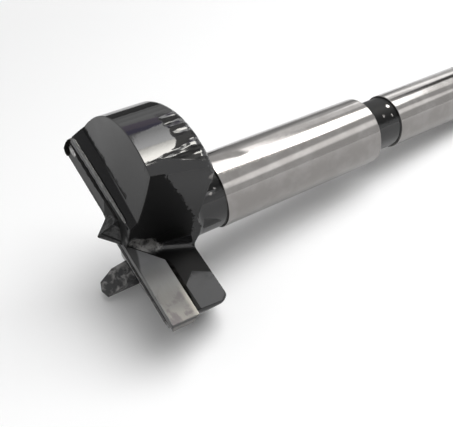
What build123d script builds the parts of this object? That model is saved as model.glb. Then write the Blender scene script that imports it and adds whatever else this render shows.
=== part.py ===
"""Two-wing carbide-tipped wood boring bit with a scoring spur, lying at rest on a table.

Each piece is drawn about the bit's own axis: the centre point is at the origin, +Z runs up the
shank, and the main cutting edges lie along X. The finished pieces are then laid down together.
Sizes are in millimetres and angles in degrees.
"""

import os
from math import cos, hypot, radians, sin, sqrt, tan

from build123d import *

# Sizes across the bit
cut_diameter = 35.0
land_clearance = 1.75
collar_diameter = 11.2
body_diameter = 11.8
neck_diameter = 8.9
shank_diameter = 9.5

# Lengths along the axis, from the tip of the centre point
point_length = 2.6
wing_depth = 9.9
head_length = 18.6
body_length = 31.8
neck_length = 4.8
shank_length = 34.6

# Front and back of the wings
edge_relief = 8.0
backing_width = 4.3
step_width = 1.5
step_height = 1.2
face_height = 6.1
face_cant = 2.3
face_hollow = 0.27
back_slope = 8.6
land_relief = 0.55

# Flutes
hook_angle = 18.0
web_half_width = 3.8
wall_slope = 10.0
flute_radius = 0.9
gash_radius = 1.7
gash_clearance = 0.9
gash_start = 4.0
gash_length = 1.6

# Centre point
point_half_width = 2.6
point_turn = 12.0
point_flat = 0.15
point_root = 1.2

# Main cutter plates
plate_thickness = 2.4
plate_height = 4.7
plate_start = 3.2
plate_slant = 3.9
plate_proud = 0.25
plate_setback = 0.1
plate_end_taper = 4.0
plate_end_relief = 5.0

# Scoring spur
spur_thickness = 2.4
spur_width = 4.2
spur_overhang = 0.6
spur_lead = 2.2
spur_tip_drop = 0.5
spur_tip_width = 3.0
spur_shoulder = 0.9
spur_seat_depth = 9.0
spur_bevel_start = 5.6
spur_edge = 0.4

# Rounded and broken edges
rim_radius = 1.2
root_radius = 1.5
shoulder_length = 1.2
shank_chamfer = 0.8

cut_radius = cut_diameter / 2
land_radius = cut_radius - land_clearance
back_start = point_length + wing_depth
backing_top = point_length + backing_width * tan(radians(edge_relief))
body_end = head_length + body_length
neck_end = body_end + neck_length
overall_length = neck_end + shank_length
spur_seat = cut_radius - spur_thickness


def front_at(x):
    """Step corner, middle and rim of a wing's front face at the distance x along its edge."""
    rise = x * tan(radians(face_cant))
    share = 1 + rise / step_height
    corner = (backing_width + step_width * share, backing_top + step_height * share)
    rim = (cut_radius, face_height + rise)
    middle = ((corner[0] + rim[0]) / 2, (corner[1] + rim[1]) / 2 + face_hollow)
    return corner, middle, rim


def back_at(y):
    """Height of a wing's back face at the distance y behind the cutting edges."""
    return back_start + y * tan(radians(back_slope))


def wall_at(z):
    """Distance from the axis to a flute's wall at the height z."""
    return web_half_width + (z - point_length) * tan(radians(wall_slope))


def rake_at(z):
    """How far a rake face has moved back from its cutting edge at the height z."""
    return (z - point_length) * tan(radians(hook_angle))


root_height = back_at(rake_at(back_start))

# Plane of the rake face: x along the cutting edge, y up the face, normal out into the flute
rake_plane = Plane(
    origin=(0, 0, point_length),
    x_dir=(1, 0, 0),
    z_dir=(0, -cos(radians(hook_angle)), sin(radians(hook_angle))),
)
plate_face = rake_plane.offset(plate_proud)
# Plane ground behind the cutting edge, its normal up towards the shank
relief_plane = Plane(
    origin=(0, 0, point_length),
    x_dir=(1, 0, 0),
    z_dir=(0, -sin(radians(edge_relief)), cos(radians(edge_relief))),
)
# Plane of a plate's outer end, which falls away from the bored wall behind its corner
end_plane = Plane(
    origin=(cut_radius - plate_setback, 0, point_length),
    z_dir=(1, tan(radians(plate_end_relief)), tan(radians(plate_end_taper))),
)
# Flat on the wing's rim that carries the spur: x towards the trailing side, y up the shank
spur_plane = Plane(origin=(0, spur_seat, point_length), x_dir=(-1, 0, 0), z_dir=(0, 1, 0))

# Flute: a square corner between one wing's rake face and the wall of the wing ahead of it
with BuildPart() as flute:
    for height in (0, overall_length):
        with BuildSketch(Plane.XY.offset(height)):
            with Locations((wall_at(height), rake_at(height))):
                Rectangle(cut_diameter, cut_diameter, align=(Align.MIN, Align.MAX))
    loft()
    valley_start = (web_half_width, 0, point_length)
    valley = flute.edges().sort_by_distance(valley_start)[0]
    fillet(valley, flute_radius)

# Round-nosed gash in the flute's corner beside the inner end of the main cutter plate
with BuildPart() as gash:
    for height in (gash_start, gash_start + gash_length):
        along = wall_at(height) + gash_clearance
        behind = rake_at(height) - gash_clearance
        with Locations((along, behind, height)):
            Sphere(gash_radius)

# Ground front of a wing: the step behind the backing and the hollow face beyond it
with BuildPart() as front_cut:
    for x in (-cut_radius, cut_radius):
        corner, middle, rim = front_at(x)
        with BuildSketch(Plane.YZ.offset(x)):
            with BuildLine():
                ThreePointArc(corner, middle, rim)
                Polyline(
                    rim,
                    (cut_radius, -point_length),
                    (backing_width - step_width, -point_length),
                    (backing_width - step_width, backing_top - step_height),
                    corner,
                )
            make_face()
    loft(ruled=True)

# Pocket for a main cutter plate, open to the front, to the rim and to the flute
with BuildPart() as plate_pocket:
    with BuildSketch(plate_face):
        with BuildLine():
            Polyline(
                (plate_start, -point_length),
                (plate_start, 0),
                (plate_start + plate_slant, plate_height),
                (cut_diameter, plate_height),
                (cut_diameter, -point_length),
                close=True,
            )
        make_face()
    extrude(amount=-plate_thickness)

# Slot in the rim for the spur, open to the front
with BuildPart() as spur_slot:
    with BuildSketch(spur_plane):
        with Locations((-spur_overhang, spur_seat_depth)):
            Rectangle(spur_width, cut_diameter, align=(Align.MIN, Align.MAX))
    extrude(amount=spur_thickness)
print("flute, pocket and slot cutters ready")

# Body of the bit: head, collar, ground body, neck and shank in one piece
with BuildPart() as bit_body:
    with BuildSketch(Plane.YZ):
        with BuildLine():
            Polyline(
                (0, point_length),
                (cut_radius, point_length + cut_radius * tan(radians(edge_relief))),
                (cut_radius, back_at(cut_radius)),
                (0, back_start),
                close=True,
            )
        make_face()
        mirror(about=Plane.YZ)
    extrude(amount=cut_radius, both=True)
    # Rims of the two wings, each falling away from the bored wall behind its cutting edge
    with BuildSketch():
        with BuildLine():
            near_land = CenterArc((land_relief, 0), land_radius, 0, 180)
            far_land = CenterArc((-land_relief, 0), land_radius, 180, 180)
            Line(near_land @ 1, far_land @ 0)
            Line(far_land @ 1, near_land @ 0)
        make_face()
    extrude(amount=head_length, mode=Mode.INTERSECT)
    with PolarLocations(0, 2):
        add(front_cut.part, mode=Mode.SUBTRACT)
    # Core, collar, ground body, neck and shank, turned about the axis
    with BuildSketch(Plane.XZ):
        with BuildLine():
            Polyline(
                (0, back_start),
                (collar_diameter / 2 + root_radius, back_start),
                (collar_diameter / 2 + root_radius, root_height),
            )
            RadiusArc(
                (collar_diameter / 2 + root_radius, root_height),
                (collar_diameter / 2, root_height + root_radius),
                root_radius,
            )
            Polyline(
                (collar_diameter / 2, root_height + root_radius),
                (collar_diameter / 2, head_length),
                (body_diameter / 2, head_length),
                (body_diameter / 2, body_end - shoulder_length),
                (neck_diameter / 2, body_end),
                (neck_diameter / 2, neck_end),
                (shank_diameter / 2, neck_end),
                (shank_diameter / 2, overall_length - shank_chamfer),
                (shank_diameter / 2 - shank_chamfer, overall_length),
                (0, overall_length),
                (0, back_start),
            )
        make_face()
    revolve(axis=Axis.Z)
    # Centre point: a four-sided pyramid with a minute flat at its tip
    point_growth = (point_half_width - point_flat) / point_length
    for height in (0, point_length + point_root):
        side = sqrt(2) * (point_flat + point_growth * height)
        with BuildSketch(Plane.XY.offset(height)):
            Rectangle(side, side, rotation=45 + point_turn)
    loft()
    with PolarLocations(0, 2):
        add(flute.part, mode=Mode.SUBTRACT)
    rounds = bit_body.faces().filter_by(GeomType.CYLINDER)
    lands = rounds.sort_by(lambda face: hypot(face.center().X, face.center().Y))[-2:]
    fillet([land.edges().sort_by(Axis.Z)[-1] for land in lands], rim_radius)
    with PolarLocations(0, 2):
        add(gash.part, mode=Mode.SUBTRACT)
        add(plate_pocket.part, mode=Mode.SUBTRACT)
    add(spur_slot.part, mode=Mode.SUBTRACT)
print("body ready")

# Main cutter plate: it fills its pocket, ground to a relief in front and at its outer end
with BuildPart() as cutter_plate_a:
    add(plate_pocket.part)
    split(bisect_by=relief_plane, keep=Keep.TOP)
    split(bisect_by=end_plane, keep=Keep.BOTTOM)

with BuildPart() as cutter_plate_b:
    add(cutter_plate_a.part, rotation=(0, 0, 180))

# Scoring spur: outer face on the bored wall, inner face bevelled to a thin edge
with BuildPart() as scoring_spur:
    with BuildSketch(spur_plane):
        with BuildLine():
            Polyline(
                (-spur_overhang, spur_seat_depth),
                (-spur_overhang, spur_tip_drop - spur_lead),
                (spur_tip_width / 2 - spur_overhang, -spur_lead),
                (spur_tip_width - spur_overhang, spur_tip_drop - spur_lead),
                (spur_width - spur_overhang, spur_shoulder),
                (spur_width - spur_overhang, spur_seat_depth),
                close=True,
            )
        make_face()
    extrude(amount=spur_thickness)
    Cylinder(
        cut_radius,
        overall_length,
        align=(Align.CENTER, Align.CENTER, Align.MIN),
        mode=Mode.INTERSECT,
    )
    with BuildSketch(Plane.YZ):
        with BuildLine():
            Polyline(
                (spur_seat, point_length + spur_bevel_start),
                (cut_radius - spur_edge, point_length - spur_lead),
                (cut_radius - spur_edge, 0),
                (spur_seat, 0),
                close=True,
            )
        make_face()
    extrude(amount=cut_radius, both=True, mode=Mode.SUBTRACT)
print("cutters ready")

pieces = {
    "bit_body": bit_body,
    "cutter_plate_a": cutter_plate_a,
    "cutter_plate_b": cutter_plate_b,
    "scoring_spur": scoring_spur,
}

# The bit rolls on the rim of the spur's wing until the spur's outer corner stops it, and
# pitches until the end of the shank touches the table too
edge_samples = 48
outline = [
    tuple(edge @ (step / edge_samples))
    for piece in pieces.values()
    for edge in piece.edges()
    for step in range(edge_samples + 1)
]
rim_points = [point for point in outline if hypot(point[0], point[1]) > land_radius - rim_radius]
shank_points = [point for point in outline if point[2] > neck_end]


def down_direction(roll, pitch):
    """Direction of gravity seen from the bit, for a roll about its axis and a nose-up pitch."""
    return (cos(pitch) * cos(roll), cos(pitch) * sin(roll), sin(pitch))


def lowest(points, down):
    """How far the points reach in the down direction."""
    return max(x * down[0] + y * down[1] + z * down[2] for x, y, z in points)


def root_of(function, low, high):
    """Where a rising function crosses zero, by halving the interval."""
    for _ in range(24):
        middle = (low + high) / 2
        if function(middle) > 0:
            high = middle
        else:
            low = middle
    return (low + high) / 2


def resting_pitch(roll):
    """Pitch at which the head and the end of the shank are level."""

    def shank_below_head(pitch):
        down = down_direction(roll, pitch)
        return lowest(shank_points, down) - lowest(rim_points, down)

    return root_of(shank_below_head, 0, radians(45))


def spur_below_rim(roll):
    """How much lower the side with the spur is than the side with the rim of its wing."""
    down = down_direction(roll, resting_pitch(roll))
    spur_side = [point for point in rim_points if point[1] * down[0] > point[0] * down[1]]
    rim_side = [point for point in rim_points if point[1] * down[0] <= point[0] * down[1]]
    return lowest(spur_side, down) - lowest(rim_side, down)


roll = root_of(spur_below_rim, radians(40), radians(85))
pitch = resting_pitch(roll)
down = Vector(*down_direction(roll, pitch))
along = Vector(0, 0, 1) - down * sin(pitch)
table = Plane(origin=(0, 0, 0), x_dir=along, z_dir=-down)
lying = table.location.inverse()
boxes = [piece.part.moved(lying).bounding_box() for piece in pieces.values()]
low = Vector(*(min(tuple(box.min)[axis] for box in boxes) for axis in range(3)))
high = Vector(*(max(tuple(box.max)[axis] for box in boxes) for axis in range(3)))
centre = (low + high) / 2
lying = Location((-centre.X, -centre.Y, -low.Z)) * lying
print("roll and pitch in radians", round(roll, 4), round(pitch, 4))

os.makedirs("parts", exist_ok=True)
for name, piece in pieces.items():
    piece.part.locate(lying)
    piece.part.label = name
    export_step(piece.part, f"parts/{name}.step")
    print(name, "written")
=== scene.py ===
import math

import bmesh
import bpy
from mathutils import Matrix, Vector, noise


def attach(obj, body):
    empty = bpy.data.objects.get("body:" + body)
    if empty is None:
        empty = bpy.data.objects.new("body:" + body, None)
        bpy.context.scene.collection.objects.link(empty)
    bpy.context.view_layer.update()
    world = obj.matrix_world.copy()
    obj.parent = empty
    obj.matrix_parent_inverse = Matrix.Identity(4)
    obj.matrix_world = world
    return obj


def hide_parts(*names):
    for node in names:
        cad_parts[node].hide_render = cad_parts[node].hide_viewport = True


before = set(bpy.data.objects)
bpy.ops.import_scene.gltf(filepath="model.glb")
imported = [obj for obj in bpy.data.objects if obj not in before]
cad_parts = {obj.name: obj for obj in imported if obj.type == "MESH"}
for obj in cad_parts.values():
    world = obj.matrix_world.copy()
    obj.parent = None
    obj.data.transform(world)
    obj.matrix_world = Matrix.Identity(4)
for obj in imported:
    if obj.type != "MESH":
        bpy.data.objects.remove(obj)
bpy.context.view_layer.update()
print("frame loaded")

# the bit's own axis runs from the tip of its centre point up the shank, measured in millimetres
perMetre = 1000.0
bitPlace = {"tip": (-0.0437575, 0.0, 0.0177646), "lean": 98.434, "roll": -66.03}
bitMatrix = (
    Matrix.Translation(bitPlace["tip"])
    @ Matrix.Rotation(math.radians(bitPlace["lean"]), 4, "Y")
    @ Matrix.Rotation(math.radians(bitPlace["roll"]), 4, "Z")
    @ Matrix.Scale(1 / perMetre, 4)
)


def fromBit(place):
    return bitMatrix @ Vector(place)


# node helpers
def newGroup(name, inputs, outputs):
    group = bpy.data.node_groups.new(name, "ShaderNodeTree")
    for label, kind, value in inputs:
        socket = group.interface.new_socket(label, in_out="INPUT", socket_type=kind)
        if value is not None:
            socket.default_value = value
    for label, kind in outputs:
        group.interface.new_socket(label, in_out="OUTPUT", socket_type=kind)
    return group, group.nodes.new("NodeGroupInput"), group.nodes.new("NodeGroupOutput")


def addNode(tree, kind, links=None, **settings):
    node = tree.nodes.new("ShaderNode" + kind)
    for key, value in settings.items():
        setattr(node, key, value)
    for key, value in (links or {}).items():
        socket = node.inputs[key]
        if isinstance(value, bpy.types.NodeSocket):
            tree.links.new(value, socket)
        else:
            socket.default_value = value
    return node


def mathNode(tree, operation, first, second=None, third=None, clamp=False):
    links = {0: first}
    if second is not None:
        links[1] = second
    if third is not None:
        links[2] = third
    return addNode(tree, "Math", links, operation=operation, use_clamp=clamp).outputs[0]


def mixColour(tree, factor, first, second):
    node = addNode(tree, "Mix", data_type="RGBA")
    for key, value in ((0, factor), (6, first), (7, second)):
        if isinstance(value, bpy.types.NodeSocket):
            tree.links.new(value, node.inputs[key])
        else:
            node.inputs[key].default_value = value
    return node.outputs[2]


def mixValue(tree, factor, first, second):
    node = addNode(tree, "Mix", data_type="FLOAT")
    for key, value in ((0, factor), (2, first), (3, second)):
        if isinstance(value, bpy.types.NodeSocket):
            tree.links.new(value, node.inputs[key])
        else:
            node.inputs[key].default_value = value
    return node.outputs[0]


def ramp(tree, value, low, high, outLow=0.0, outHigh=1.0):
    node = addNode(
        tree,
        "MapRange",
        {"Value": value, "From Min": low, "From Max": high, "To Min": outLow, "To Max": outHigh},
        interpolation_type="SMOOTHSTEP",
    )
    return node.outputs["Result"]


# masks: where a value rises or falls over a band, where both hold and where either holds
def rises(tree, value, band):
    return ramp(tree, value, *band)


def falls(tree, value, band):
    return ramp(tree, value, *band, 1.0, 0.0)


def both(tree, first, second):
    return mathNode(tree, "MULTIPLY", first, second)


def either(tree, first, second):
    return mathNode(tree, "MAXIMUM", first, second)


def plus(tree, first, second):
    return mathNode(tree, "ADD", first, second)


def minus(tree, first, second):
    return mathNode(tree, "SUBTRACT", first, second)


def timesPlus(tree, value, factor, extra):
    return mathNode(tree, "MULTIPLY_ADD", value, factor, extra)


def absolute(tree, value):
    return mathNode(tree, "ABSOLUTE", value)


def sign(tree, value):
    return mathNode(tree, "SIGN", value)


def nearPlace(tree, place, middle, reach, soft):
    gap = addNode(tree, "VectorMath", {0: place, 1: middle}, operation="DISTANCE").outputs["Value"]
    return falls(tree, gap, (reach - soft, reach))


def bumps(tree, height, strength, distance, under=None):
    links = {"Height": height, "Strength": strength, "Distance": distance}
    if under is not None:
        links["Normal"] = under
    return addNode(tree, "Bump", links).outputs[0]


# place on the bit: vector in millimetres about its axis, distance along it and from it
def makeBitFrame():
    group, _, out = newGroup(
        "bitFrame",
        [],
        [
            ("Place", "NodeSocketVector"),
            ("Along", "NodeSocketFloat"),
            ("Radius", "NodeSocketFloat"),
        ],
    )
    coordinates = addNode(group, "TexCoord").outputs["Object"]
    moved = addNode(
        group, "VectorMath", {0: coordinates, 1: bitPlace["tip"]}, operation="SUBTRACT"
    ).outputs[0]
    upright = addNode(
        group,
        "VectorRotate",
        {"Vector": moved, "Angle": -math.radians(bitPlace["lean"])},
        rotation_type="Y_AXIS",
    ).outputs[0]
    turned = addNode(
        group,
        "VectorRotate",
        {"Vector": upright, "Angle": -math.radians(bitPlace["roll"])},
        rotation_type="Z_AXIS",
    ).outputs[0]
    place = addNode(
        group, "VectorMath", {0: turned, "Scale": perMetre}, operation="SCALE"
    ).outputs[0]
    parts = addNode(group, "SeparateXYZ", {0: place})
    flat = addNode(group, "CombineXYZ", {0: parts.outputs[0], 1: parts.outputs[1]}).outputs[0]
    radius = addNode(group, "VectorMath", {0: flat}, operation="LENGTH").outputs["Value"]
    group.links.new(place, out.inputs["Place"])
    group.links.new(parts.outputs[2], out.inputs["Along"])
    group.links.new(radius, out.inputs["Radius"])
    return group


# between which values the noises show: stains, grinding lines, grain and scale between the runs
stainSpread = (0.4, 0.66)
lineSpread = (0.2, 0.8)
grainSpread = (0.3, 0.7)
scaleEdge = (-0.025, 0.025)
scaleShift = (17.3, 5.1, 2.9)
grainFiner = 6.0


# fine grinding lines: noise stretched across the direction of the wheel
def makeGrindLines():
    group, inside, out = newGroup(
        "grindLines",
        [
            ("Place", "NodeSocketVector", None),
            ("Stretch", "NodeSocketVector", (1.0, 1.0, 12.0)),
            ("Contrast", "NodeSocketFloat", 1.0),
        ],
        [("Lines", "NodeSocketFloat"), ("Stains", "NodeSocketFloat")],
    )
    stretched = addNode(
        group,
        "VectorMath",
        {0: inside.outputs["Place"], 1: inside.outputs["Stretch"]},
        operation="MULTIPLY",
    ).outputs[0]
    lines = addNode(
        group, "TexNoise", {"Vector": stretched, "Scale": 1.0, "Detail": 3.0, "Roughness": 0.7}
    ).outputs["Fac"]
    spread = both(group, minus(group, lines, 0.5), inside.outputs["Contrast"])
    spread = mathNode(group, "ADD", spread, 0.5, clamp=True)
    stains = addNode(
        group,
        "TexNoise",
        {"Vector": inside.outputs["Place"], "Scale": 0.35, "Detail": 4.0, "Roughness": 0.6},
    ).outputs["Fac"]
    group.links.new(spread, out.inputs["Lines"])
    group.links.new(rises(group, stains, stainSpread), out.inputs["Stains"])
    return group


# irregular blotches and pits, as in baked enamel, flux and rough brazing
def makeMottle():
    group, inside, out = newGroup(
        "mottle",
        [
            ("Place", "NodeSocketVector", None),
            ("Scale", "NodeSocketFloat", 1.0),
            ("Low", "NodeSocketFloat", 0.42),
            ("High", "NodeSocketFloat", 0.62),
        ],
        [("Blotch", "NodeSocketFloat"), ("Grain", "NodeSocketFloat")],
    )
    blotch = addNode(
        group,
        "TexNoise",
        {
            "Vector": inside.outputs["Place"],
            "Scale": inside.outputs["Scale"],
            "Detail": 5.0,
            "Roughness": 0.6,
            "Distortion": 0.4,
        },
    ).outputs["Fac"]
    grainScale = both(group, inside.outputs["Scale"], grainFiner)
    grain = addNode(
        group,
        "TexNoise",
        {"Vector": inside.outputs["Place"], "Scale": grainScale, "Detail": 2.0},
    ).outputs["Fac"]
    node = addNode(
        group,
        "MapRange",
        {
            "Value": blotch,
            "From Min": inside.outputs["Low"],
            "From Max": inside.outputs["High"],
        },
        interpolation_type="SMOOTHSTEP",
    )
    group.links.new(node.outputs["Result"], out.inputs["Blotch"])
    group.links.new(grain, out.inputs["Grain"])
    return group


# long smooth runs in the enamel, drawn out along the bit, and the dull scale between them
def makeRuns():
    group, inside, out = newGroup(
        "enamelRuns",
        [
            ("Place", "NodeSocketVector", None),
            ("Scale", "NodeSocketFloat", 0.6),
            ("Stretch", "NodeSocketVector", (1.0, 1.0, 0.4)),
            ("Offset", "NodeSocketVector", (0.0, 0.0, 0.0)),
            ("Cover", "NodeSocketFloat", 0.5),
        ],
        [("Height", "NodeSocketFloat"), ("Scale Mask", "NodeSocketFloat")],
    )
    drawn = addNode(
        group,
        "VectorMath",
        {
            0: inside.outputs["Place"],
            1: inside.outputs["Stretch"],
            2: inside.outputs["Offset"],
        },
        operation="MULTIPLY_ADD",
    ).outputs[0]
    height = addNode(
        group, "TexNoise", {"Vector": drawn, "Scale": inside.outputs["Scale"], "Detail": 1.0}
    ).outputs["Fac"]
    shifted = addNode(group, "VectorMath", {0: drawn, 1: scaleShift}, operation="ADD").outputs[0]
    patches = addNode(
        group, "TexNoise", {"Vector": shifted, "Scale": inside.outputs["Scale"], "Detail": 2.0}
    ).outputs["Fac"]
    gap = minus(group, patches, inside.outputs["Cover"])
    group.links.new(height, out.inputs["Height"])
    group.links.new(falls(group, gap, scaleEdge), out.inputs["Scale Mask"])
    return group


bitFrame = makeBitFrame()
grindLines = makeGrindLines()
mottle = makeMottle()
enamelRuns = makeRuns()


def useGroup(tree, group, links=None):
    node = tree.nodes.new("ShaderNodeGroup")
    node.node_tree = group
    for key, value in (links or {}).items():
        if isinstance(value, bpy.types.NodeSocket):
            tree.links.new(value, node.inputs[key])
        else:
            node.inputs[key].default_value = value
    return node


def newMaterial(name):
    material = bpy.data.materials.new(name)
    material.use_nodes = True
    shader = material.node_tree.nodes["Principled BSDF"]
    return material, material.node_tree, shader


def feed(tree, shader, **sockets):
    for label, value in sockets.items():
        socket = shader.inputs[label.replace("_", " ")]
        if isinstance(value, bpy.types.NodeSocket):
            tree.links.new(value, socket)
        else:
            socket.default_value = value


# gloss enamel on the head and neck, ground steel on the body and shank
bodyFinish = {
    "enamel": (0.011, 0.011, 0.0115, 1.0),
    "scale": (0.022, 0.022, 0.022, 1.0),
    "gashScale": (0.17, 0.167, 0.161, 1.0),
    # dark dull metal, for scale and soot and for painted shade
    "sootAndShade": (0.012, 0.012, 0.0122, 1.0),
    "steel": (0.262, 0.252, 0.245, 1.0),
    "steelStain": (0.232, 0.222, 0.214, 1.0),
    "enamelRough": 0.06,
    "sootAndShadeRough": 0.5,
    "scaleRough": (0.25, 0.5),
    "steelRough": (0.085, 0.145),
    "groundFrom": (18.55, 18.62),  # distances along the bit
    "groundTo": (50.38, 50.45),
    "neckFrom": (50.42, 50.5),
    "shankFrom": (55.18, 55.25),
    "ringStretch": (0.5, 0.5, 16.0),
    "ringContrast": 1.4,
    "ringStrength": 0.2,
    "ringHeight": 0.000008,
    "peelScale": 0.45,
    "peelStrength": 0.12,
    "peelHeight": 0.00002,
}

# runs of enamel on the back of the rims and round the collar
enamelRun = {
    "scale": 1.0,
    "stretch": (1.0, 1.0, 0.3),
    "offset": (4.1, 7.4, 1.4),
    "cover": 0.52,
    "height": 0.0004,
    "start": 10.5,  # distance along the bit
    "wander": 1.6,
    "edge": (-0.15, 0.15),
    "corner": (0.8, 0.67),  # how far below the middle of the rim the start turns, how steeply
    "heel": (1.75, 5.0),
    "rim": (14.0, 15.0),
    "rimSides": (3.8, 5.4),
    "calm": (8.6, 2.7, 0.45),  # distance along, distance below the middle, slope
    "calmEdge": (-0.15, 0.25),
    "collarFrom": (14.0, 15.0),
    "collarWithin": (6.0, 7.5),
    "collarTop": (2.6, 4.0),
    "collarShare": 0.7,
}

# flux and scale on the centre point and in each gash, which is a row of places with their reach
crustPlaces = {
    "scale": 0.8,
    "spread": (0.36, 0.6),
    "height": 0.00009,
    "pointWithin": (2.0, 2.3),
    "pointTo": (2.7, 3.3),
    "pointSoot": 0.8,
    "gashes": [
        ((3.7, -1.5, 3.7), 1.15),
        ((3.6, -0.5, 4.5), 1.6),
        ((4.0, 0.4, 5.5), 1.8),
        ((4.5, 0.9, 6.6), 1.4),
        ((4.8, 1.2, 7.4), 0.8),
    ],
    "gashEdge": 0.7,
}

# where shade is painted, about the bit's axis
shadeEdges = {
    "hook": 0.325,  # slope of the rake face
    "near": (0.1, 0.2),
    "faceFrom": 2.6,
    "faceTo": 10.0,
    "faceCorner": 10.1,
    "faceRise": 0.35,
    "faceFall": 0.9,
    "faceEdge": (-0.08, 0.08),
    "plateBand": (7.89, 8.01),
    "wallFrom": 3.34,
    "wallLean": 0.176,
    "wallSide": (0.2, 0.8),
    "wallTo": 12.4,
    "wallPeak": 14.3,
    "wallFall": 0.448,
    "wallRagged": 1.6,
    "wallEdge": (-0.1, 0.1),
    "landWithin": (15.2, 15.4),
    "landFrom": (0.02, 0.1),
    "landTo": (1.6, 3.0),
    "rootFrom": (2.1, 2.3),
    "rootTo": (4.3, 5.0),
    "rootUpTo": (3.2, 3.5),
    "neckTo": 2.1,
    "neckRagged": 1.2,
    "neckEdge": (-0.2, 0.2),
    "creepFrom": 5.85,
    "creepRagged": 1.3,
    "creepEdge": (-0.3, 0.5),
    "creepStart": (6.0, 6.2),
    "creepUpTo": (5.6, 6.2),
}

# specks of bare steel on the neck, the collar and a wall, set as painted highlights: place and
# radius
bareGlintSpecks = [
    ((0.3, -4.43, 54.2), 0.42),
    ((1.7, -4.1, 52.3), 0.32),
    ((2.1, -3.95, 53.9), 0.26),
    ((3.34, -4.49, 16.5), 0.36),
    ((2.8, -4.8, 17.2), 0.28),
    ((5.86, -12.39, 14.31), 0.55),
]
speckShape = {"edge": 0.15, "shakeScale": 1.6, "shake": 1.1}


# painted shade on the rake face and on the rim just behind the rake face, and a painted dark
# reflection on the facing wall
def fluteShade(tree, x, y, z, radius, ragged):
    edges = shadeEdges
    outwards = absolute(tree, x)
    ahead = both(tree, y, sign(tree, x))
    slope = timesPlus(tree, z, edges["hook"], -edges["hook"] * edges["faceFrom"])
    behind = minus(tree, ahead, slope)
    onFace = falls(tree, absolute(tree, behind), edges["near"])
    rise = timesPlus(tree, z, edges["faceRise"], -edges["faceRise"] * edges["faceCorner"])
    fall = timesPlus(tree, z, -edges["faceFall"], edges["faceFall"] * edges["faceCorner"])
    reach = plus(tree, either(tree, rise, fall), edges["faceTo"])
    faceShade = falls(tree, minus(tree, outwards, reach), edges["faceEdge"])
    faceShade = either(tree, faceShade, falls(tree, z, edges["plateBand"]))
    lean = timesPlus(tree, z, edges["wallLean"], edges["wallFrom"])
    onWall = falls(tree, absolute(tree, minus(tree, outwards, lean)), edges["near"])
    onWall = both(tree, onWall, falls(tree, ahead, edges["wallSide"]))
    top = timesPlus(tree, absolute(tree, ahead), -edges["wallFall"], edges["wallPeak"])
    top = mathNode(tree, "MINIMUM", top, edges["wallTo"])
    wave = timesPlus(tree, ragged, edges["wallRagged"], -edges["wallRagged"] / 2)
    wallShade = falls(tree, minus(tree, z, plus(tree, top, wave)), edges["wallEdge"])
    onLand = both(
        tree, rises(tree, behind, edges["landFrom"]), falls(tree, behind, edges["landTo"])
    )
    onLand = both(tree, onLand, rises(tree, radius, edges["landWithin"]))
    inFlute = either(tree, both(tree, onFace, faceShade), both(tree, onWall, wallShade))
    return either(tree, inFlute, onLand)


# painted shade that spreads unevenly over the edge in front of each wing's dark step
def creepingShade(tree, x, y, along, ragged):
    edges = shadeEdges
    ahead = both(tree, y, sign(tree, x))
    edge = timesPlus(tree, ragged, edges["creepRagged"], edges["creepFrom"])
    crept = falls(tree, minus(tree, ahead, edge), edges["creepEdge"])
    crept = both(tree, crept, rises(tree, ahead, edges["creepStart"]))
    return both(tree, crept, falls(tree, along, edges["creepUpTo"]))


# where the enamel has run: on the back of the rims and on the upper side of the collar; at the
# rim's corner and heel the runs start early, so that the scale between them paints the shade that
# ends the rim's highlight
def runAreas(tree, x, y, along, radius, height):
    settings = enamelRun
    side = both(tree, x, sign(tree, y))
    start = timesPlus(tree, height, settings["wander"], settings["start"])
    for reach, slope in (settings["corner"], settings["heel"]):
        past = mathNode(tree, "MINIMUM", plus(tree, side, reach), 0.0)
        start = timesPlus(tree, past, slope, start)
    onRim = rises(tree, minus(tree, along, start), settings["edge"])
    onRim = both(tree, onRim, rises(tree, radius, settings["rim"]))
    onRim = both(tree, onRim, falls(tree, absolute(tree, x), settings["rimSides"]))
    # below the runs the rim is calm as far as the flute's wall
    calmAlong, calmSide, calmSlope = settings["calm"]
    limit = either(tree, minus(tree, along, calmAlong), 0.0)
    limit = timesPlus(tree, limit, calmSlope, calmSide)
    onRim = both(tree, onRim, rises(tree, plus(tree, side, limit), settings["calmEdge"]))
    onCollar = falls(tree, radius, settings["collarWithin"])
    onCollar = both(tree, onCollar, rises(tree, along, settings["collarFrom"]))
    return onRim, both(tree, onCollar, falls(tree, x, settings["collarTop"]))


# places moved a little by noise, so that what is drawn round them has ragged edges
def shakenPlace(tree, spot):
    noiseLinks = {"Vector": spot, "Scale": speckShape["shakeScale"], "Detail": 2.0}
    shift = addNode(tree, "TexNoise", noiseLinks).outputs["Color"]
    centred = addNode(tree, "VectorMath", {0: shift, 1: (0.5, 0.5, 0.5)}, operation="SUBTRACT")
    reach = (speckShape["shake"],) * 3
    links = {0: centred.outputs[0], 1: reach, 2: spot}
    return addNode(tree, "VectorMath", links, operation="MULTIPLY_ADD").outputs[0]


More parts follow.
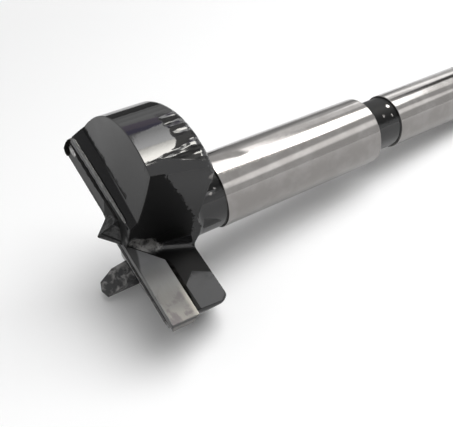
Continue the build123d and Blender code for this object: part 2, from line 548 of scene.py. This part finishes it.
def makeBodyFinish():
    settings = bodyFinish
    material, tree, shader = newMaterial("bitFinish")
    place = useGroup(tree, bitFrame)
    spot = place.outputs["Place"]
    along = place.outputs["Along"]
    radius = place.outputs["Radius"]
    parts = addNode(tree, "SeparateXYZ", {0: spot})
    x, y, z = parts.outputs[0], parts.outputs[1], parts.outputs[2]
    rings = useGroup(
        tree,
        grindLines,
        {"Place": spot, "Stretch": settings["ringStretch"], "Contrast": settings["ringContrast"]},
    )
    peel = useGroup(tree, mottle, {"Place": spot, "Scale": settings["peelScale"]})
    runs = useGroup(
        tree,
        enamelRuns,
        {
            "Place": spot,
            "Scale": enamelRun["scale"],
            "Stretch": enamelRun["stretch"],
            "Offset": enamelRun["offset"],
            "Cover": enamelRun["cover"],
        },
    )
    crustLow, crustHigh = crustPlaces["spread"]
    crust = useGroup(
        tree,
        mottle,
        {"Place": spot, "Scale": crustPlaces["scale"], "Low": crustLow, "High": crustHigh},
    )
    # ground steel on the body and shank, and in a few specks of bare steel that are painted
    # highlights
    onBody = both(
        tree, rises(tree, along, settings["groundFrom"]), falls(tree, along, settings["groundTo"])
    )
    onShank = rises(tree, along, settings["shankFrom"])
    pastBody = rises(tree, along, settings["neckFrom"])
    onNeck = mathNode(tree, "SUBTRACT", pastBody, onShank, clamp=True)
    bare = mathNode(tree, "ADD", onBody, onShank, clamp=True)
    shaken = shakenPlace(tree, spot)
    for middle, reach in bareGlintSpecks:
        bare = either(tree, bare, nearPlace(tree, shaken, middle, reach, speckShape["edge"]))
    onRim, onCollar = runAreas(tree, x, y, along, radius, runs.outputs["Height"])
    onCollar = both(tree, onCollar, minus(tree, 1.0, onNeck))
    running = either(tree, onRim, both(tree, onCollar, enamelRun["collarShare"]))
    # flux and scale are left on the centre point and in the gashes
    onPoint = both(
        tree,
        falls(tree, radius, crustPlaces["pointWithin"]),
        falls(tree, along, crustPlaces["pointTo"]),
    )
    inGash = 0.0
    for (gashX, gashY, gashZ), reach in crustPlaces["gashes"]:
        for turn in (1, -1):
            middle = (gashX * turn, gashY * turn, gashZ)
            near = nearPlace(tree, shaken, middle, reach, crustPlaces["gashEdge"])
            inGash = either(tree, inGash, near)
    scaled = either(tree, inGash, onPoint)
    # painted shade in the flutes, round the point, on one side of the neck and in front of each
    # step, and dark scale on the point and between the runs
    roundPoint = both(
        tree,
        both(
            tree,
            rises(tree, radius, shadeEdges["rootFrom"]),
            falls(tree, radius, shadeEdges["rootTo"]),
        ),
        falls(tree, along, shadeEdges["rootUpTo"]),
    )
    sootedAndShaded = either(tree, fluteShade(tree, x, y, z, radius, peel.outputs["Grain"]), roundPoint)
    sootedAndShaded = both(tree, sootedAndShaded, minus(tree, 1.0, inGash))
    # one side of the neck is darkened as painted shade
    neckTo = timesPlus(tree, crust.outputs["Grain"], shadeEdges["neckRagged"], shadeEdges["neckTo"])
    neckShade = both(tree, onNeck, falls(tree, minus(tree, x, neckTo), shadeEdges["neckEdge"]))
    pointSoot = both(tree, onPoint, both(tree, crust.outputs["Blotch"], crustPlaces["pointSoot"]))
    # dull scale between the runs, partly painted shade that ends the rim's highlight and darkens
    # the collar's upper side
    betweenRuns = both(tree, either(tree, onRim, onCollar), runs.outputs["Scale Mask"])
    creeping = creepingShade(tree, x, y, along, runs.outputs["Height"])
    for sootAndShade in (neckShade, pointSoot, creeping, betweenRuns):
        sootedAndShaded = either(tree, sootedAndShaded, sootAndShade)
    steel = mixColour(tree, rings.outputs["Stains"], settings["steelStain"], settings["steel"])
    lightScale = mixColour(tree, inGash, settings["scale"], settings["gashScale"])
    scaleColour = mixColour(tree, crust.outputs["Blotch"], settings["enamel"], lightScale)
    enamel = mixColour(tree, scaled, settings["enamel"], scaleColour)
    enamel = mixColour(tree, sootedAndShaded, enamel, settings["sootAndShade"])
    steelRough = ramp(tree, rings.outputs["Lines"], *lineSpread, *settings["steelRough"])
    scaleRough = ramp(tree, crust.outputs["Grain"], *grainSpread, *settings["scaleRough"])
    enamelRough = mixValue(tree, scaled, settings["enamelRough"], scaleRough)
    enamelRough = mixValue(tree, sootedAndShaded, enamelRough, settings["sootAndShadeRough"])
    ringStrength, peelStrength = settings["ringStrength"], settings["peelStrength"]
    ringBump = bumps(tree, rings.outputs["Lines"], ringStrength, settings["ringHeight"])
    peelBump = bumps(tree, peel.outputs["Blotch"], peelStrength, settings["peelHeight"])
    runBump = bumps(tree, runs.outputs["Height"], running, enamelRun["height"], peelBump)
    crustBump = bumps(tree, crust.outputs["Blotch"], scaled, crustPlaces["height"], runBump)
    normals = addNode(tree, "Mix", data_type="VECTOR")
    tree.links.new(bare, normals.inputs[0])
    tree.links.new(crustBump, normals.inputs[4])
    tree.links.new(ringBump, normals.inputs[5])
    feed(
        tree,
        shader,
        Base_Color=mixColour(tree, bare, enamel, steel),
        Metallic=either(tree, bare, sootedAndShaded),
        Roughness=mixValue(tree, bare, enamelRough, steelRough),
        Normal=normals.outputs[1],
        IOR=1.5,
    )
    return material


# ground carbide, warmer and faintly spotted towards the rim, dull on its relief; its tone is
# painted lighter near the axis and darker further out, as painted light and shade
plateFinish = {
    "inner": (0.235, 0.237, 0.24, 1.0),
    "carbide": (0.136, 0.136, 0.135, 1.0),
    "warm": (0.106, 0.104, 0.1, 1.0),
    "end": (0.147, 0.142, 0.133, 1.0),
    "violet": (0.078, 0.07, 0.074, 1.0),
    "wornHighlight": (0.27, 0.26, 0.235, 1.0),
    "relief": (0.125, 0.125, 0.125, 1.0),
    "sootAndShade": (0.08, 0.08, 0.08, 1.0),
    "endShade": (0.022, 0.022, 0.021, 1.0),
    "rough": (0.47, 0.57),
    "reliefRough": 0.6,
    "metal": 0.72,
    "lineStretch": (0.3, 4.0, 4.0),
    "lineContrast": 1.2,
    "lineStrength": 0.15,
    "lineHeight": 0.00001,
    "spotScale": 0.5,
    "spotSpread": (0.48, 0.62),
    "spotShare": 0.8,
    "innerTo": (6.0, 9.5),  # distances from the bit's axis
    "warmFrom": (10.5, 13.5),
    "endFrom": (14.6, 16.4),
    "wornHighlightTop": (6.1, 7.2),
    "wornHighlightFrom": (11.0, 14.0),
    "wornHighlightLines": (0.2, 0.6, 0.5, 1.0),
    "tip": 2.6,  # where the cutting edges start, along the bit
    "reliefSlope": 0.14,
    "reliefBand": (0.04, 0.1),
    "endFace": (16.9, 17.05),
    "endStart": (0.08, 0.16),
    "endFade": (0.5, 1.2),
    "shadeReach": (4.0, 9.6, 1.35, 0.0),  # from and to outwards, height at each
    "shadeEdge": (-0.25, 0.1),
    "shadeBehind": (0.35, 0.5),
}


def makePlateFinish():
    settings = plateFinish
    material, tree, shader = newMaterial("carbide")
    place = useGroup(tree, bitFrame)
    spot = place.outputs["Place"]
    radius = place.outputs["Radius"]
    parts = addNode(tree, "SeparateXYZ", {0: spot})
    x, y, z = parts.outputs[0], parts.outputs[1], parts.outputs[2]
    outwards = absolute(tree, x)
    behind = absolute(tree, y)
    up = minus(tree, z, settings["tip"])
    lines = useGroup(
        tree,
        grindLines,
        {"Place": spot, "Stretch": settings["lineStretch"], "Contrast": settings["lineContrast"]},
    )
    spotLow, spotHigh = settings["spotSpread"]
    spots = useGroup(
        tree,
        mottle,
        {"Place": spot, "Scale": settings["spotScale"], "Low": spotLow, "High": spotHigh},
    )
    # tone set by distance from the axis, partly painted light and shade that evens out the
    # reflections
    warm = rises(tree, radius, settings["warmFrom"])
    inner = rises(tree, radius, settings["innerTo"])
    colour = mixColour(tree, inner, settings["inner"], settings["carbide"])
    colour = mixColour(tree, warm, colour, settings["warm"])
    colour = mixColour(tree, rises(tree, radius, settings["endFrom"]), colour, settings["end"])
    spotted = both(tree, both(tree, spots.outputs["Blotch"], warm), settings["spotShare"])
    colour = mixColour(tree, spotted, colour, settings["violet"])
    # worn bright along the top edge towards the rim, partly a painted highlight
    wornHighlight = both(
        tree, rises(tree, z, settings["wornHighlightTop"]), rises(tree, outwards, settings["wornHighlightFrom"])
    )
    wornHighlight = both(tree, wornHighlight, ramp(tree, lines.outputs["Lines"], *settings["wornHighlightLines"]))
    colour = mixColour(tree, wornHighlight, colour, settings["wornHighlight"])
    # the ground relief behind the cutting edge is duller than the rake face
    overRelief = timesPlus(tree, behind, -settings["reliefSlope"], up)
    onRelief = falls(tree, overRelief, settings["reliefBand"])
    colour = mixColour(tree, onRelief, colour, settings["relief"])
    # painted shade along the edge beside the centre point, narrowing outwards
    reach = ramp(tree, outwards, *settings["shadeReach"])
    sootedAndShaded = both(
        tree,
        falls(tree, minus(tree, up, reach), settings["shadeEdge"]),
        falls(tree, behind, settings["shadeBehind"]),
    )
    colour = mixColour(tree, sootedAndShaded, colour, settings["sootAndShade"])
    # painted shade on the end face, next to the rake face
    behindRake = timesPlus(tree, up, -shadeEdges["hook"], both(tree, y, sign(tree, x)))
    onEnd = both(
        tree,
        rises(tree, radius, settings["endFace"]),
        both(
            tree,
            rises(tree, behindRake, settings["endStart"]),
            falls(tree, behindRake, settings["endFade"]),
        ),
    )
    colour = mixColour(tree, onEnd, colour, settings["endShade"])
    rough = ramp(tree, lines.outputs["Lines"], *lineSpread, *settings["rough"])
    feed(
        tree,
        shader,
        Base_Color=colour,
        Metallic=mixValue(tree, onRelief, settings["metal"], 1.0),
        Roughness=mixValue(tree, onRelief, rough, settings["reliefRough"]),
        Normal=bumps(
            tree, lines.outputs["Lines"], settings["lineStrength"], settings["lineHeight"]
        ),
    )
    return material


# forged spur steel under dark brazing scale
spurFinish = {
    "dark": (0.012, 0.012, 0.013, 1.0),
    "light": (0.175, 0.172, 0.169, 1.0),
    "spotScale": 0.8,
    "spotSpread": (0.42, 0.64),
    "rough": (0.3, 0.5),
    "strength": 0.7,
    "height": 0.0001,
}


def makeSpurFinish():
    settings = spurFinish
    material, tree, shader = newMaterial("spurSteel")
    place = useGroup(tree, bitFrame)
    spotLow, spotHigh = settings["spotSpread"]
    spots = useGroup(
        tree,
        mottle,
        {
            "Place": place.outputs["Place"],
            "Scale": settings["spotScale"],
            "Low": spotLow,
            "High": spotHigh,
        },
    )
    feed(
        tree,
        shader,
        Base_Color=mixColour(tree, spots.outputs["Blotch"], settings["dark"], settings["light"]),
        Metallic=spots.outputs["Blotch"],
        Roughness=ramp(tree, spots.outputs["Grain"], *grainSpread, *settings["rough"]),
        Normal=bumps(tree, spots.outputs["Blotch"], settings["strength"], settings["height"]),
    )
    return material


# brazing alloy: dark in the joints, lighter on the ridge as a painted highlight, worn bright where
# it stands proud
brazeFinish = {
    "darkBraze": {
        "low": (0.002, 0.002, 0.002, 1.0),
        "high": (0.016, 0.015, 0.014, 1.0),
        "rough": (0.7, 0.95),
    },
    "ridgeHighlightBraze": {
        "low": (0.15, 0.149, 0.146, 1.0),
        "high": (0.27, 0.268, 0.262, 1.0),
        "rough": (0.3, 0.5),
    },
    "wornBraze": {
        "low": (0.2, 0.199, 0.196, 1.0),
        "high": (0.55, 0.545, 0.535, 1.0),
        "rough": (0.25, 0.45),
    },
}
brazeSpots = {"scale": 1.2, "spread": (0.35, 0.65), "strength": 0.4, "height": 0.00004}


def makeBrazeFinish(name):
    settings = brazeFinish[name]
    material, tree, shader = newMaterial(name)
    place = useGroup(tree, bitFrame)
    spotLow, spotHigh = brazeSpots["spread"]
    spots = useGroup(
        tree,
        mottle,
        {
            "Place": place.outputs["Place"],
            "Scale": brazeSpots["scale"],
            "Low": spotLow,
            "High": spotHigh,
        },
    )
    feed(
        tree,
        shader,
        Base_Color=mixColour(tree, spots.outputs["Blotch"], settings["low"], settings["high"]),
        Metallic=1.0,
        Roughness=ramp(tree, spots.outputs["Grain"], *grainSpread, *settings["rough"]),
        Normal=bumps(tree, spots.outputs["Blotch"], brazeSpots["strength"], brazeSpots["height"]),
    )
    return material


finishes = {
    "bit_body": makeBodyFinish(),
    "cutter_plate_a": makePlateFinish(),
    "scoring_spur": makeSpurFinish(),
}
finishes["cutter_plate_b"] = finishes["cutter_plate_a"]


# the CAD solids' own surfaces, with the small broken edges that grinding and enamel leave
brokenEdges = {
    "bit_body": {"piece": "boringBody", "width": 0.00010, "angle": 22},
    "cutter_plate_a": {"piece": "lowerPlate", "width": 0.00004, "angle": 20},
    "cutter_plate_b": {"piece": "upperPlate", "width": 0.00004, "angle": 20},
    "scoring_spur": {"piece": "spurTooth", "width": 0.00006, "angle": 20},
}
edgeCut = {"merge": 0.000002, "flatWithin": 0.3, "segments": 2}


def breakEdges(nodeName):
    settings = brokenEdges[nodeName]
    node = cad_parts[nodeName]
    shape = bmesh.new()
    shape.from_mesh(node.data)
    bmesh.ops.remove_doubles(shape, verts=shape.verts[:], dist=edgeCut["merge"])
    flat = math.radians(edgeCut["flatWithin"])
    bmesh.ops.dissolve_limit(shape, angle_limit=flat, verts=shape.verts[:], edges=shape.edges[:])
    limit = math.radians(settings["angle"])
    sharp = [e for e in shape.edges if e.is_manifold and e.calc_face_angle(0.0) > limit]
    bmesh.ops.bevel(
        shape,
        geom=sharp,
        offset=settings["width"],
        offset_type="OFFSET",
        segments=edgeCut["segments"],
        profile=0.5,
        affect="EDGES",
        clamp_overlap=False,
    )
    bmesh.ops.triangulate(shape, faces=[f for f in shape.faces if len(f.verts) > 4])
    for face in shape.faces:
        face.smooth = True
    mesh = bpy.data.meshes.new(settings["piece"])
    shape.to_mesh(mesh)
    shape.free()
    piece = bpy.data.objects.new(settings["piece"], mesh)
    bpy.context.scene.collection.objects.link(piece)
    weighted = piece.modifiers.new("flatFaces", "WEIGHTED_NORMAL")
    weighted.weight = 100
    weighted.keep_sharp = True
    mesh.materials.append(finishes[nodeName])
    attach(piece, "root")
    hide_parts(nodeName)
    return piece


for name, finish in finishes.items():
    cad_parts[name].material_slots[0].material = finish
    piece = breakEdges(name)
print("pieces ready")

# faces that the joints lie on, about the bit's axis: rake and relief of the near wing
wingFaces = {"tip": 2.6, "hook": 18.0, "relief": 8.0}


def onRake(x, up):
    hook = math.radians(wingFaces["hook"])
    return (x, up * math.sin(hook), wingFaces["tip"] + up * math.cos(hook))


def onRelief(x, back):
    return (x, back, wingFaces["tip"] + back * math.tan(math.radians(wingFaces["relief"])))


hookAngle = math.radians(wingFaces["hook"])
reliefAngle = math.radians(wingFaces["relief"])
rakeOut = (0.0, -math.cos(hookAngle), math.sin(hookAngle))
reliefOut = (0.0, math.sin(reliefAngle), -math.cos(reliefAngle))

# beads of brazing alloy: where each runs, which way it faces, its widths from end to end and height
beads = {
    "frontJoint": {
        "route": [
            onRelief(-0.6, 2.85),
            onRelief(4.5, 2.72),
            onRelief(9.5, 2.66),
            onRelief(15.6, 2.6),
        ],
        "up": reliefOut,
        "widths": (0.7, 1.1, 1.3, 0.9),
        "height": 0.03,
        "finish": "darkBraze",
        "uneven": 0.3,
        "turns": (0, 180),
        "seed": 3,
    },
    "backingRidge": {
        "route": [onRelief(-2.4, 4.4), onRelief(6.0, 4.42), onRelief(15.1, 4.4)],
        "up": (0.0, 0.34, -0.94),
        "widths": (0.6, 0.85, 0.6),
        "height": 0.1,
        "finish": "ridgeHighlightBraze",
        "uneven": 0.25,
        "turns": (0, 180),
        "seed": 11,
    },
    "rakeJoint": {
        "route": [
            onRake(3.3, 0.3),
            onRake(7.1, 4.85),
            onRake(8.4, 5.2),
            onRake(12.0, 5.12),
            onRake(15.5, 4.9),
        ],
        "up": rakeOut,
        "widths": (0.3, 0.5, 0.9, 0.85, 0.3),
        "height": 0.16,
        "finish": "darkBraze",
        "uneven": 0.15,
        "turns": (0, 180),
        "seed": 23,
    },
}
beadShape = {
    "step": 0.25,
    "fewest": 8,
    "sides": 10,
    "swell": 0.31,
    "drift": 0.23,
    "driftShare": 0.5,
    "taper": 2.5,  # rings at each end
    "blunt": 0.3,
}


def pointAlong(points, share):
    spans = [(b - a).length for a, b in zip(points, points[1:])]
    left = share * sum(spans)
    for start, end, span in zip(points, points[1:], spans):
        if left <= span or end is points[-1]:
            return start.lerp(end, min(left / span, 1.0)), (end - start).normalized()
        left -= span


def valueAlong(values, share):
    at = share * (len(values) - 1)
    step = min(int(at), len(values) - 2)
    return values[step] + (values[step + 1] - values[step]) * (at - step)


def makeBead(name, turn):
    settings = beads[name]
    spin = Matrix.Rotation(math.radians(turn), 4, "Z")
    points = [spin @ Vector(place) for place in settings["route"]]
    up = (spin @ Vector(settings["up"])).normalized()
    length = sum((b - a).length for a, b in zip(points, points[1:]))
    rings = max(beadShape["fewest"], int(length / beadShape["step"]))
    sides = beadShape["sides"]
    seed = settings["seed"] + turn
    shape = bmesh.new()
    loops = []
    for ring in range(rings + 1):
        share = ring / rings
        place, along = pointAlong(points, share)
        across = along.cross(up).normalized()
        swellNoise = noise.noise(Vector((ring * beadShape["swell"], seed, 0.0)))
        driftNoise = noise.noise(Vector((ring * beadShape["drift"], seed, 5.0)))
        swell = 1 + settings["uneven"] * swellNoise
        drift = settings["uneven"] * beadShape["driftShare"] * driftNoise
        fromEnd = min(ring, rings - ring) + beadShape["blunt"]
        taper = math.sqrt(min(1.0, fromEnd / beadShape["taper"]))
        half = valueAlong(settings["widths"], share) / 2
        loop = []
        for side in range(sides):
            angle = 2 * math.pi * side / sides
            offset = across * (half * swell * taper * math.cos(angle) + half * drift)
            offset += up * (settings["height"] * swell * taper * math.sin(angle))
            loop.append(shape.verts.new(fromBit(place + offset)))
        loops.append(loop)
    for near, far in zip(loops, loops[1:]):
        for side in range(sides):
            after = (side + 1) % sides
            shape.faces.new((near[side], near[after], far[after], far[side]))
    shape.faces.new(list(reversed(loops[0])))
    shape.faces.new(loops[-1])
    bmesh.ops.recalc_face_normals(shape, faces=shape.faces[:])
    return newPiece(f"{name}{turn}", shape, brazeMaterials[settings["finish"]])


# lumps of alloy on the upper wing: middle, half sizes along the wing, across it and outwards
lumps = {
    "cornerLump": {
        "middle": onRelief(14.95, 1.95),
        "up": reliefOut,
        "half": (1.15, 0.62, 0.24),
        "finish": "wornBraze",
        "turn": 180,
    },
    "endBraze": {
        "middle": (16.55, 1.1, 2.95),
        "up": (0.7, 0.1, -0.7),
        "half": (0.75, 1.6, 0.75),
        "finish": "darkBraze",
        "turn": 180,
    },
}
lumpShape = {"uneven": 0.25, "grain": 1.7, "subdivisions": 3}


def makeLump(name):
    settings = lumps[name]
    spin = Matrix.Rotation(math.radians(settings["turn"]), 4, "Z")
    middle = spin @ Vector(settings["middle"])
    up = (spin @ Vector(settings["up"])).normalized()
    across = up.cross(spin @ Vector((1.0, 0.0, 0.0))).normalized()
    along = across.cross(up).normalized()
    shape = bmesh.new()
    bmesh.ops.create_icosphere(shape, subdivisions=lumpShape["subdivisions"], radius=1.0)
    for vert in shape.verts:
        bulge = noise.noise(vert.co * lumpShape["grain"] + Vector((len(name), 0.0, 0.0)))
        swell = 1 + lumpShape["uneven"] * bulge
        x, y, z = (vert.co[axis] * settings["half"][axis] * swell for axis in range(3))
        vert.co = fromBit(middle + along * x + across * y + up * z)
    return newPiece(name, shape, brazeMaterials[settings["finish"]])


def newPiece(name, shape, material):
    for face in shape.faces:
        face.smooth = True
    mesh = bpy.data.meshes.new(name)
    shape.to_mesh(mesh)
    shape.free()
    piece = bpy.data.objects.new(name, mesh)
    mesh.materials.append(material)
    bpy.context.scene.collection.objects.link(piece)
    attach(piece, "root")
    return piece


brazeMaterials = {name: makeBrazeFinish(name) for name in brazeFinish}
for name, bead in beads.items():
    for turn in bead["turns"]:
        makeBead(name, turn)
for name in lumps:
    makeLump(name)
print("brazing ready")

# floor and light
studio = {
    "floorSize": 3.0,
    "floorColour": (0.9, 0.9, 0.9, 1.0),
    "floorRough": 0.9,
    "floorLift": 0.03,  # the floor glows a little more where it is far away
    "farLift": 0.68,
    "fadeFrom": 0.1,
    "fadeTo": 0.7,
    "worldFill": 0.35,
    "lampDistance": 0.6,
    "cardDistance": 2.0,
}


def isSeen(tree):
    path = addNode(tree, "LightPath")
    seen = either(tree, path.outputs["Is Camera Ray"], path.outputs["Is Glossy Ray"])
    return either(tree, seen, path.outputs["Is Transmission Ray"])


def makeFloor():
    half = studio["floorSize"] / 2
    corners = [(-half, -half, 0), (half, -half, 0), (half, half, 0), (-half, half, 0)]
    material, tree, shader = newMaterial("floorWhite")
    place = addNode(tree, "TexCoord").outputs["Object"]
    away = addNode(tree, "VectorMath", {0: place}, operation="LENGTH").outputs["Value"]
    near, far = studio["fadeFrom"], studio["fadeTo"]
    lift = ramp(tree, away, near, far, studio["floorLift"], studio["farLift"])
    feed(
        tree,
        shader,
        Base_Color=studio["floorColour"],
        Roughness=studio["floorRough"],
        Emission_Color=(1.0, 1.0, 1.0, 1.0),
        Emission_Strength=both(tree, isSeen(tree), lift),
    )
    shader.inputs["Specular IOR Level"].default_value = 0.0
    makeSheet("floor", corners, material)


def makeSheet(name, corners, material):
    mesh = bpy.data.meshes.new(name)
    mesh.from_pydata(corners, [], [tuple(range(len(corners)))])
    mesh.materials.append(material)
    sheet = bpy.data.objects.new(name, mesh)
    bpy.context.scene.collection.objects.link(sheet)
    return sheet


def makeWorld():
    world = bpy.data.worlds.new("studioWorld")
    bpy.context.scene.world = world
    world.use_nodes = True
    tree = world.node_tree
    background = tree.nodes["Background"]
    background.inputs["Color"].default_value = (1.0, 1.0, 1.0, 1.0)
    strength = mixValue(tree, isSeen(tree), studio["worldFill"], 1.0)
    tree.links.new(strength, background.inputs["Strength"])


def direction(azimuth, elevation):
    a, e = math.radians(azimuth), math.radians(elevation)
    return Vector((math.cos(a) * math.cos(e), math.sin(a) * math.cos(e), math.sin(e)))


# soft light: the direction it comes from, its width and height in degrees and its brightness
lamps = {
    "overheadSoftbox": {"azimuth": -42, "elevation": 60, "wide": 44, "high": 44, "level": 5.5},
}


def makeLamps():
    for name, lamp in lamps.items():
        away = direction(lamp["azimuth"], lamp["elevation"])
        data = bpy.data.lights.new(name, "AREA")
        data.shape = "RECTANGLE"
        data.size = 2 * studio["lampDistance"] * math.tan(math.radians(lamp["wide"] / 2))
        data.size_y = 2 * studio["lampDistance"] * math.tan(math.radians(lamp["high"] / 2))
        data.energy = lamp["level"] * math.pi * data.size * data.size_y
        light = bpy.data.objects.new(name, data)
        light.location = away * studio["lampDistance"]
        light.rotation_mode = "QUATERNION"
        light.rotation_quaternion = away.to_track_quat("Z", "Y")
        light.visible_glossy = False
        bpy.context.scene.collection.objects.link(light)


# cards that only reflections show: corners as azimuth and elevation, or places beside the bit in
# metres, and how bright they are
cards = {
    "keySoftbox": {
        "corners": [(-15, 67), (18, 67), (12, 43), (-24, 43)],
        "levels": (22.0, 6.5, 11.0, 22.0),
        "colour": (1.0, 0.975, 0.92, 1.0),
    },
    "keyWing": {
        "corners": [(18, 66), (48, 52), (48, 36.5), (24, 47.5), (13, 49)],
        "levels": (7.0, 2.4, 4.4, 5.0, 6.5),
    },
    "streakCard": {
        "places": [
            (-0.0171, 0.0121, 0.0264),
            (-0.0139, 0.011, 0.027),
            (-0.0105, 0.0061, 0.0299),
            (-0.0091, 0.0008, 0.0312),
            (-0.0115, 0.0003, 0.0317),
            (-0.014, 0.0033, 0.0317),
            (-0.0173, 0.0058, 0.0314),
        ],
        "level": 1.1,
    },
    "shankBand": {"corners": [(-14, 37.5), (9, 37.5), (11.6, 43), (-24, 43)], "level": 6.6},
    "backPanel": {"corners": [(25, 26), (50, 26), (50, 41), (25, 42)], "level": 1.7},
    "darkFlag": {
        "corners": [(11.6, 18), (24, 18), (24, 36), (11.6, 36)],
        "level": 0.15,
        "distance": 1.95,
    },
    "streakFlag": {
        "corners": [(10, 36), (24, 36), (23, 46), (12, 48)],
        "level": 1.0,
        "distance": 1.92,
    },
    "shankGlow": {
        "corners": [(25, 18), (42, 18), (42, 27.5), (25, 27.5)],
        "level": 3.1,
        "distance": 1.93,
    },
    "nearPanel": {"corners": [(-12, 24), (11.6, 24), (11.6, 37.5), (-12, 37.5)], "level": 2.0},
    "sideStrip": {"corners": [(-28, 21), (-61, 16), (-61, 30), (-28, 30)], "level": 2.45},
    "violetBand": {
        "corners": [(43, 44), (66, 44), (60, 50), (42, 50)],
        "level": 0.6,
        "colour": (0.68, 0.62, 1.0, 1.0),
    },
    "violetGlow": {
        "corners": [(48, 36), (70, 36), (66, 44), (43, 44)],
        "level": 0.72,
        "colour": (0.9, 0.77, 1.0, 1.0),
    },
    "horizonUpper": {"corners": [(52, 14), (130, 14), (130, 26), (52, 26)], "level": 0.72},
    "horizonLower": {"corners": [(45, 0), (170, 0), (170, 14), (45, 14)], "level": 0.5},
    "rimShade": {
        "corners": [(64.5, 0), (84, 0), (84, 17), (64.5, 17)],
        "level": 0.08,
        "distance": 1.0,
    },
    "farCorner": {"corners": [(130, 14), (175, 14), (175, 48), (130, 48)], "level": 0.22},
}
# grey sheets on the floor behind the head, under its flank and under its tip, which only
# reflections show:
# painted shade behind the head and under the flank, painted light under the tip. y and level are
# given in pairs, and the level goes from edge to near to far
floorCards = {
    "farSheet": {
        "corners": [(-0.05, 0.028), (-0.05, 0.6), (-0.5, 1.2), (-1.2, 0.9), (-0.13, 0.028)],
        "edge": (0.03, 0.4),
        "near": (0.07, 0.55),
        "far": (0.15, 0.85),
    },
    "flankSheet": {
        "corners": [(-0.036, -0.022), (-0.036, -0.006), (-0.0235, -0.006), (-0.0235, -0.022)],
        "edge": (-1.0, 0.75),
        "near": (-0.0175, 0.75),
        "far": (-0.01, 0.45),
    },
    "tipSheet": {
        "corners": [(-0.0405, -0.004), (-0.0405, 0.012), (-0.047, 0.012), (-0.047, -0.004)],
        "edge": (-1.0, 0.4),
        "near": (-0.9, 0.4),
        "far": (0.9, 0.4),
    },
}
floorCardHeight = 0.0004


def cardMaterial(name):
    material = bpy.data.materials.new(name)
    material.use_nodes = True
    tree = material.node_tree
    tree.nodes.remove(tree.nodes["Principled BSDF"])
    glow = addNode(tree, "Emission")
    tree.links.new(glow.outputs[0], tree.nodes["Material Output"].inputs["Surface"])
    return material, tree, glow


def makeCard(name, corners, material):
    card = makeSheet(name, corners, material)
    card.visible_camera = False
    card.visible_diffuse = False
    card.visible_shadow = False
    return card


def makeCards():
    for name, card in cards.items():
        away = card.get("distance", studio["cardDistance"])
        corners = card.get("places") or [direction(*corner) * away for corner in card["corners"]]
        material, tree, glow = cardMaterial(name)
        glow.inputs["Color"].default_value = card.get("colour", (1.0, 1.0, 1.0, 1.0))
        levels = card.get("levels", [card.get("level", 1.0)] * len(corners))
        level = addNode(tree, "Attribute", attribute_name="level").outputs["Fac"]
        tree.links.new(level, glow.inputs["Strength"])
        sheet = makeCard(name, corners, material)
        attribute = sheet.data.attributes.new("level", "FLOAT", "POINT")
        attribute.data.foreach_set("value", levels)


def makeFloorCards():
    for name, card in floorCards.items():
        material, tree, glow = cardMaterial(name)
        place = addNode(tree, "SeparateXYZ", {0: addNode(tree, "TexCoord").outputs["Object"]})
        edge, near, far = card["edge"], card["near"], card["far"]
        level = ramp(tree, place.outputs[1], near[0], far[0], near[1], far[1])
        rise = ramp(tree, place.outputs[1], edge[0], near[0], edge[1] / near[1], 1.0)
        tree.links.new(both(tree, level, rise), glow.inputs["Strength"])
        makeCard(name, [(x, y, floorCardHeight) for x, y in card["corners"]], material)


makeFloor()
makeWorld()
makeLamps()
makeCards()
makeFloorCards()
print("floor and light ready")

cameraView = {
    "location": (-0.055552, -0.074126, 0.068833),
    "rotation": (52.6595, 12.7812, -33.0305),
    "lens": 49.27,
    "sensor": 36.0,
    "nearest": 0.005,
}


def makeCamera():
    data = bpy.data.cameras.new("viewCamera")
    data.sensor_width = cameraView["sensor"]
    data.lens = cameraView["lens"]
    data.clip_start = cameraView["nearest"]
    camera = bpy.data.objects.new("viewCamera", data)
    camera.location = cameraView["location"]
    camera.rotation_euler = [math.radians(angle) for angle in cameraView["rotation"]]
    bpy.context.scene.collection.objects.link(camera)
    bpy.context.scene.camera = camera


makeCamera()
bpy.context.scene.view_settings.view_transform = "Standard"
print("camera ready")
